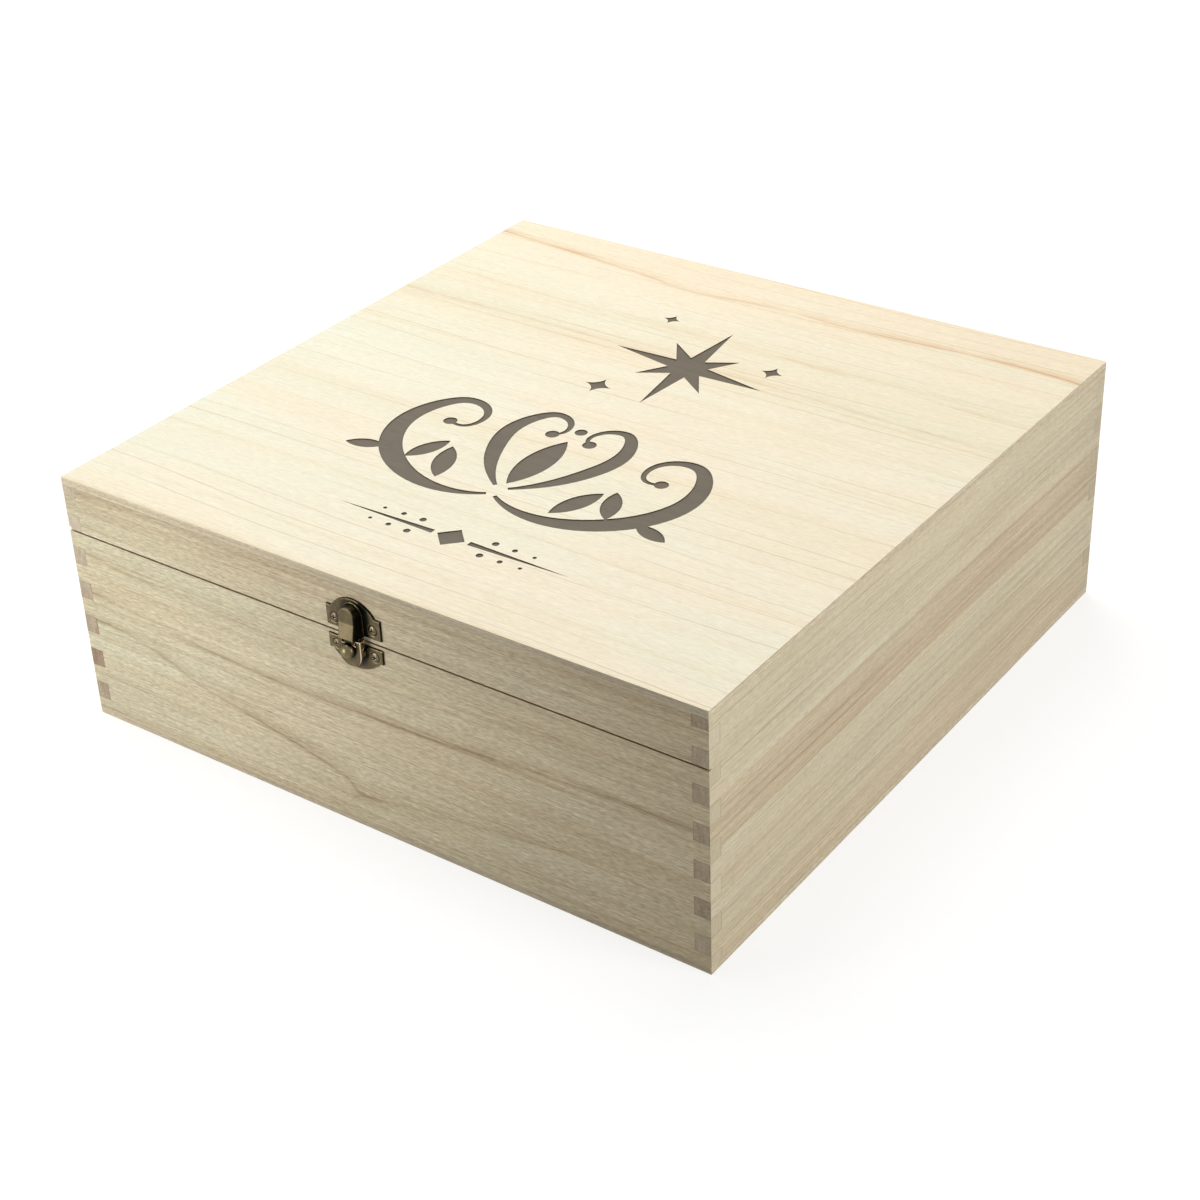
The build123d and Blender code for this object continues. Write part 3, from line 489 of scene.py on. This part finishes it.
def plyPanel(name, look, low, high):
    # pale paulownia veneer on a three-ply core, sanded, with its edges left bare
    material, tree = newMaterial(name)
    place = boardPlace(tree, look["axes"], look["lean"])
    face, pores, fibres = woodColour(tree, place, look)
    upright = addNode(tree, "ShaderNodeMath", {"operation": "ABSOLUTE"}, {0: place["normal"][2]})
    isEdge = addNode(tree, "ShaderNodeMath", {"operation": "LESS_THAN", 1: 0.6}, {0: upright.outputs[0]})
    wood = addNode(tree, "ShaderNodeMix", {"data_type": "RGBA"},
                   {"Factor": isEdge.outputs[0], 6: face, 7: plyEdgeColour(tree, place, look, low, high)})
    colour = wood.outputs[2]
    if look["engraved"]:
        mix = addNode(tree, "ShaderNodeMix", {"data_type": "RGBA"},
                      {"Factor": burntMask(tree, place, high), 6: colour, 7: burntColour(tree, place, look)})
        colour = mix.outputs[2]
    finishWood(tree, colour, pores, fibres, 0.58)
    return material


panelGround = dict(
    boardGround, axes="XYZ", seed=80, span=(-150, 150), bandWidth=16.0, engraved=False,
    pale="#f4ecd9", middle="#ecdfc3", dark="#cda577", greenTint="#f8fffe", rosyTint="#fffaf4",
    rosyDrift=0.5, rosyRuns=[("x", -140, -20, 0.3), ("y", 95, 125, 0.45)],
    ground=0.14, bands=0.22, strands=0.22, fibres=0.24, threads=0.1, blotch=0.03, pores=0.06, flecks=0.3,
    hairs={"size": (300, 40, 40), "wander": 2.5, "step": 9.0, "width": 0.032, "run": (170, 7, 7),
           "tone": 0.75, "colour": "#c0a980"},
    wander={"drift": 9.0, "ripple": 1.4, "seed": 9},
    facePly=0.26, glueWidth=0.04, glueTone=0.0, glue="#a39678", edgePale="#d2c6a8", edgeDark="#93806a",
    edgeRuns=[("x", 10, -145, 0.16), ("x", 149.0, 149.9, 0.22), ("x", 50, 145, -0.06)],
    # the burnt foot share is painted shade along the foot of the engraving's walls
    burntPale="#5f523a", burntDark="#423826", burntFootShade=0.55,
)

topPanelLook = dict(
    panelGround, engraved=True,
    rings=[(-150, 0.34), (-147, 0.06), (-132.5, 0.04), (-131, 0.22), (-129.5, 0.04), (-117, 0.03),
           (-116, 0.13), (-114, 0.03), (-90.5, 0.04), (-89, 0.17), (-87, 0.03), (-71.6, 0.03),
           (-70.5, 0.13), (-69, 0.02), (-49, 0.12), (-47.5, 0.02), (-27, 0.14), (-25, 0.02),
           (-2, 0.03), (-0.8, 0.2), (1, 0.04), (27, 0.06), (30, 0.16), (33, 0.08), (48, 0.14),
           (60, 0.2), (75, 0.12), (86, 0.18), (100, 0.08), (112, 0.08), (135, 0.1), (150, 0.12)],
    lines=[
        {"course": [(-150, 135), (-120, 132), (-90, 129), (-60, 125.4), (-38, 121.8), (-22, 122.6),
                    (-10, 124.2), (10, 125.6), (40, 124.2), (70, 125.2), (100, 127), (130, 127), (150, 125)],
         "core": 0.45, "shade": (3.0, 6.0), "tone": 0.95, "ripple": 1.0, "seed": 71},
        {"course": [(-150, 62), (0, 60), (150, 55)],
         "core": 0.7, "shade": (2.0, 3.0), "tone": 0.3, "ripple": 1.2, "seed": 73},
        {"course": [(-150, 56), (0, 55), (150, 50)],
         "core": 0.7, "shade": (1.6, 2.0), "tone": 0.26, "ripple": 1.2, "seed": 75},
        {"course": [(-150, 88), (-60, 85), (20, 85), (150, 79)],
         "core": 0.7, "shade": (1.6, 4.0), "tone": 0.26, "ripple": 1.4, "seed": 77},
    ],
)

bottomPanelLook = dict(
    panelGround, seed=95, pale="#e2d8bd", middle="#d2c5a6", dark="#ab9373",
    rings=[(-150, 0.1), (-120, 0.2), (-118, 0.05), (-84, 0.18), (-60, 0.06), (-31, 0.22), (-28, 0.05),
           (14, 0.2), (17, 0.04), (52, 0.16), (90, 0.22), (93, 0.05), (128, 0.18), (150, 0.08)],
    lines=[],
)

paint("top_panel", plyPanel("laseredPaulowniaPly", topPanelLook, *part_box("top_panel")))
paint("bottom_panel", plyPanel("sandedPaulowniaPly", bottomPanelLook, *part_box("bottom_panel")))
print("panels painted")


# ---- metal ----

def antiquedBrass(name, look):
    # pressed brass, blackened and then buffed back: dark patina in the hollows, deepened with painted shade, and
    # painted shade on upright sides, olive brown on the flats, bright where the wheel caught an edge, brighter still
    # as a painted highlight, or whatever stands proud
    material, tree = newMaterial(name)
    coordinates = addNode(tree, "ShaderNodeTexCoord")
    spot = addNode(tree, "ShaderNodeVectorMath", {"operation": "SCALE", "Scale": 1 / mm},
                   {0: coordinates.outputs["Object"]})
    parts = addNode(tree, "ShaderNodeSeparateXYZ", {}, {0: spot.outputs[0]})
    facing = addNode(tree, "ShaderNodeSeparateXYZ", {}, {0: coordinates.outputs["Normal"]})
    cloud = addNode(tree, "ShaderNodeTexNoise", {"Scale": 1 / look["cloudSize"], "Detail": 3.0},
                    {"Vector": spot.outputs[0]})
    speck = addNode(tree, "ShaderNodeTexNoise", {"Scale": 1 / look["speckSize"], "Detail": 2.0},
                    {"Vector": spot.outputs[0]})

    # rubbed edges found by the bevel, brightened further as a painted highlight along the rims
    rounded = addNode(tree, "ShaderNodeBevel", {"samples": 6, "Radius": look["edgeWidth"] * mm})
    plain = addNode(tree, "ShaderNodeNewGeometry")
    agree = addNode(tree, "ShaderNodeVectorMath", {"operation": "DOT_PRODUCT"},
                    {0: rounded.outputs[0], 1: plain.outputs["Normal"]})
    edge = addNode(tree, "ShaderNodeMapRange", {"From Min": 0.99, "From Max": 0.85},
                   {"Value": agree.outputs["Value"]})
    # dark patina in the hollows, deepened with painted shade: ambient occlusion darkens all within the hollow reach,
    # up to 7 mm around the hood
    hollow = addNode(tree, "ShaderNodeAmbientOcclusion", {"Distance": look["hollowReach"] * mm, "samples": 6})
    shut = addNode(tree, "ShaderNodeMapRange", {"From Min": 0.95, "From Max": 0.35}, {"Value": hollow.outputs["AO"]})
    reach = addNode(tree, "ShaderNodeMath", {"operation": "ABSOLUTE"}, {0: parts.outputs[1]})
    proud = addNode(tree, "ShaderNodeMapRange", {"From Min": 151.5, "From Max": 155.0}, {"Value": reach.outputs[0]})
    across = addNode(tree, "ShaderNodeMath", {"operation": "ABSOLUTE"}, {0: facing.outputs[0]})
    # painted shade on upright sides, weaker on the thin rims of the plates, 1 mm off the wood, than on the sides of
    # the hood
    rim = addNode(tree, "ShaderNodeMapRange", {"From Min": 151.0, "From Max": 151.6,
                  "To Min": look["rimSide"], "To Max": 1.0}, {"Value": reach.outputs[0]})
    side = addNode(tree, "ShaderNodeMapRange", {"From Min": 0.55, "From Max": 0.85}, {"Value": across.outputs[0]})
    side = addNode(tree, "ShaderNodeMath", {"operation": "MULTIPLY"}, {0: side.outputs[0], 1: rim.outputs[0]})
    rub = layerSum(tree, [(cloud.outputs[0], look["cloud"]), (speck.outputs[0], look["speck"]),
                          (edge.outputs[0], look["edgeRubAndHighlight"]), (shut.outputs[0], -look["hollowPatinaAndShade"]),
                          (proud.outputs[0], look["proudRub"]), (side.outputs[0], -look["paintedSideShading"]),
                          *runLayers(tree, dict(zip("xyz", parts.outputs)), look["paintedShadeRuns"])],
                   look["rub"] - (look["cloud"] + look["speck"]) / 2)
    ramp = addNode(tree, "ShaderNodeValToRGB", {}, {0: rub})
    setRamp(ramp, [(0.0, hexColour(look["patina"])), (0.4, hexColour(look["body"])),
                   (0.7, hexColour(look["worn"])), (1.0, hexColour(look["rubbed"]))])
    gloss = addNode(tree, "ShaderNodeMapRange", {"To Min": look["dullest"], "To Max": look["shiniest"]},
                    {"Value": rub})
    bump = addNode(tree, "ShaderNodeBump", {"Strength": 0.25, "Distance": 0.02 * mm},
                   {"Height": speck.outputs[0], "Normal": rounded.outputs[0]})
    shader = addNode(tree, "ShaderNodeBsdfPrincipled", {"Metallic": 1.0},
                     {"Base Color": ramp.outputs[0], "Roughness": gloss.outputs[0],
                      "Normal": bump.outputs[0]})
    addNode(tree, "ShaderNodeOutputMaterial", {}, {"Surface": shader.outputs[0]})
    return material


latchLook = {
    "patina": "#15140e", "body": "#625740", "worn": "#8f8459", "rubbed": "#dacc9c",
    # the side share paints shade on upright sides, the hollow share deepens the patina with painted shade, and the
    # edge share brightens rubbed edges further as a painted highlight
    "rub": 0.36, "edgeRubAndHighlight": 0.8, "proudRub": 0.0, "paintedSideShading": 0.75, "rimSide": 0.3, "hollowPatinaAndShade": 0.75,
    "dullest": 0.34, "shiniest": 0.2, "cloud": 0.4, "cloudSize": 5.0, "speck": 0.2, "speckSize": 0.5,
    "edgeWidth": 0.55, "hollowReach": 7.0,
    "paintedShadeRuns": [],
}
# painted shade: the plate just right of the hood and the hood's right half are darkened, lifted back near its middle,
# and all above the hood's crease, its upper facet included, a little, where the hood's shadow and dark reflections
# fall
strikeLook = dict(latchLook, paintedShadeRuns=[("x", 7.0, 4.4, -0.4), ("x", 1.9, 1.4, 0.4), ("z", 95.2, 96.0, -0.07)])
# painted reflection: the lever's upright cheeks are painted lighter and rosier, with rosy worn and rubbed colours, as
# if they showed the tan wood beside them
leverLook = dict(latchLook, worn="#b3a189", rubbed="#e0ccb2", rub=0.34, edgeRubAndHighlight=0.6, paintedSideShading=-0.9, rimSide=1.0, proudRub=0.0,
                 hollowReach=3.0, hollowPatinaAndShade=0.5)
knobLook = dict(latchLook, rub=0.48, paintedSideShading=0.1, proudRub=0.0, hollowReach=3.0, shiniest=0.16)
hingeLook = dict(latchLook, rub=0.4, paintedSideShading=0.0, proudRub=0.1, dullest=0.42, shiniest=0.28, hollowReach=2.0)
screwLook = dict(latchLook, body="#594d41", worn="#8f8467", rub=0.38, edgeRubAndHighlight=0.65, paintedSideShading=0.0,
                 proudRub=0.0, edgeWidth=0.2, hollowReach=0.7, hollowPatinaAndShade=1.0)

latchBrass = antiquedBrass("antiquedPressedBrass", latchLook)
for member in ("catch_plate", "catch_pin"):
    paint(member, latchBrass)
paint("strike_plate", antiquedBrass("antiquedHoodBrassPaintedShade", strikeLook))
paint("catch_lever", antiquedBrass("buffedLeverBrassPaintedReflection", leverLook))
paint("catch_knob", antiquedBrass("buffedKnobBrass", knobLook))
hingeBrass = antiquedBrass("antiquedHingeBrass", hingeLook)
for side in ("left", "right"):
    for part in ("base_leaf", "lid_leaf", "pin"):
        paint(f"{side}_hinge_{part}", hingeBrass)
screwPlating = antiquedBrass("antiquedPlatedSteel", screwLook)
for member in ("strike_screws", "catch_screws", "hinge_base_screws", "hinge_lid_screws"):
    paint(member, screwPlating)


def springWire(name):
    # bright drawn spring steel, with the faint lines of the die along the wire
    material, tree = newMaterial(name)
    coordinates = addNode(tree, "ShaderNodeTexCoord")
    lines = addNode(tree, "ShaderNodeTexNoise", {"Scale": 1 / (0.08 * mm), "Detail": 2.0},
                    {"Vector": coordinates.outputs["Object"]})
    ramp = addNode(tree, "ShaderNodeValToRGB", {}, {0: lines.outputs[0]})
    setRamp(ramp, [(0.3, hexColour("#8f8f8c")), (0.7, hexColour("#b9b8b3"))])
    shader = addNode(tree, "ShaderNodeBsdfPrincipled", {"Metallic": 1.0, "Roughness": 0.3},
                     {"Base Color": ramp.outputs[0]})
    addNode(tree, "ShaderNodeOutputMaterial", {}, {"Surface": shader.outputs[0]})
    return material


paint("catch_spring", springWire("drawnSpringSteel"))
print("metal painted")


# ---- floor, backdrop, light and camera ----

stageLook = {"floorSize": 12.0, "floor": "#a1a19f", "floorGlow": 0.73, "whiteFrom": 0.4, "whiteAt": 0.85,
             "sky": "#f7f8fa", "skyStrength": 0.16}


def backgroundRays(tree):
    # 1 for the rays that show the background: straight, mirrored or seen through
    path = addNode(tree, "ShaderNodeLightPath")
    seen = path.outputs["Is Camera Ray"]
    for name in ("Is Glossy Ray", "Is Transmission Ray"):
        step = addNode(tree, "ShaderNodeMath", {"operation": "MAXIMUM"}, {0: seen, 1: path.outputs[name]})
        seen = step.outputs[0]
    return seen


def makeFloor():
    half = stageLook["floorSize"] / 2
    mesh = bpy.data.meshes.new("floor")
    mesh.from_pydata([(-half, -half, 0), (half, -half, 0), (half, half, 0), (-half, half, 0)], [], [(0, 1, 2, 3)])
    floor = bpy.data.objects.new("floor", mesh)
    floor.location.z = cadLow.z - 0.02 * mm
    bpy.context.scene.collection.objects.link(floor)
    material, tree = newMaterial("paleStudioFloor")
    diffuse = addNode(tree, "ShaderNodeBsdfDiffuse", {"Color": hexColour(stageLook["floor"])})
    # the floor turns to plain white away from the box, where the lamps no longer reach it
    spot = addNode(tree, "ShaderNodeTexCoord")
    away = addNode(tree, "ShaderNodeVectorMath", {"operation": "LENGTH"}, {0: spot.outputs["Object"]})
    paler = addNode(tree, "ShaderNodeMapRange",
                    {"From Min": stageLook["whiteFrom"], "From Max": stageLook["whiteAt"],
                     "To Min": stageLook["floorGlow"], "To Max": 1.0}, {"Value": away.outputs["Value"]})
    glow = addNode(tree, "ShaderNodeMath", {"operation": "MULTIPLY"},
                   {0: backgroundRays(tree), 1: paler.outputs[0]})
    light = addNode(tree, "ShaderNodeEmission", {}, {"Strength": glow.outputs[0]})
    both = addNode(tree, "ShaderNodeAddShader", {}, {0: diffuse.outputs[0], 1: light.outputs[0]})
    addNode(tree, "ShaderNodeOutputMaterial", {}, {"Surface": both.outputs[0]})
    mesh.materials.append(material)


def makeSky():
    world = bpy.data.worlds.new("studio")
    bpy.context.scene.world = world
    world.use_nodes = True
    tree = world.node_tree
    tree.nodes.clear()
    sky = addNode(tree, "ShaderNodeBackground", {"Color": hexColour(stageLook["sky"]),
                  "Strength": stageLook["skyStrength"]})
    white = addNode(tree, "ShaderNodeBackground", {"Color": (1, 1, 1, 1), "Strength": 1.0})
    both = addNode(tree, "ShaderNodeMixShader", {},
                   {0: backgroundRays(tree), 1: sky.outputs[0], 2: white.outputs[0]})
    addNode(tree, "ShaderNodeOutputWorld", {}, {"Surface": both.outputs[0]})


softLights = {
    "overhead": {"place": (-0.5, 0.31, 1.1), "aim": (0.0, 0.0, 0.05), "size": 1.2, "power": 15.5},
    "frontLeft": {"place": (-0.162, -0.402, 0.11), "aim": (-0.1, -0.15, 0.05), "size": 0.2, "power": 0.63},
    "right": {"place": (1.154, -0.049, 0.392), "aim": (0.1, 0.0, 0.05), "size": 0.7, "power": 8.7},
}


def makeLights():
    for name, look in softLights.items():
        lamp = bpy.data.lights.new(name, "AREA")
        lamp.shape = "SQUARE"
        lamp.size = look["size"]
        lamp.energy = look["power"]
        holder = bpy.data.objects.new(name, lamp)
        holder.location = look["place"]
        aim = Vector(look["aim"]) - Vector(look["place"])
        holder.visible_camera = False
        holder.rotation_mode = "QUATERNION"
        holder.rotation_quaternion = aim.to_track_quat("-Z", "Y")
        bpy.context.scene.collection.objects.link(holder)


photoView = {"azimuth": 37.24, "elevation": 31.19, "roll": -2.71, "place": (485.87, -661.13, 531.18),
             "lens": 68.96, "shift": (0.0233, -0.015)}


def makeCamera():
    azimuth = math.radians(photoView["azimuth"])
    elevation = math.radians(photoView["elevation"])
    roll = math.radians(photoView["roll"])
    flat = math.cos(elevation)
    back = Vector((math.sin(azimuth) * flat, -math.cos(azimuth) * flat, math.sin(elevation)))
    right = Vector((math.cos(azimuth), math.sin(azimuth), 0))
    up = back.cross(right)
    rolledRight = right * math.cos(roll) + up * math.sin(roll)
    rolledUp = up * math.cos(roll) - right * math.sin(roll)
    lens = bpy.data.cameras.new("photoCamera")
    lens.lens = photoView["lens"]
    lens.sensor_width = 36.0
    lens.shift_x, lens.shift_y = photoView["shift"]
    lens.clip_start = 0.01
    camera = bpy.data.objects.new("photoCamera", lens)
    turn = Matrix((rolledRight, rolledUp, back)).transposed()
    camera.matrix_world = Matrix.Translation(Vector(photoView["place"]) * mm) @ turn.to_4x4()
    bpy.context.scene.collection.objects.link(camera)
    bpy.context.scene.camera = camera


makeFloor()
makeSky()
makeLights()
makeCamera()
bpy.context.scene.view_settings.view_transform = "Standard"
print("stage set")
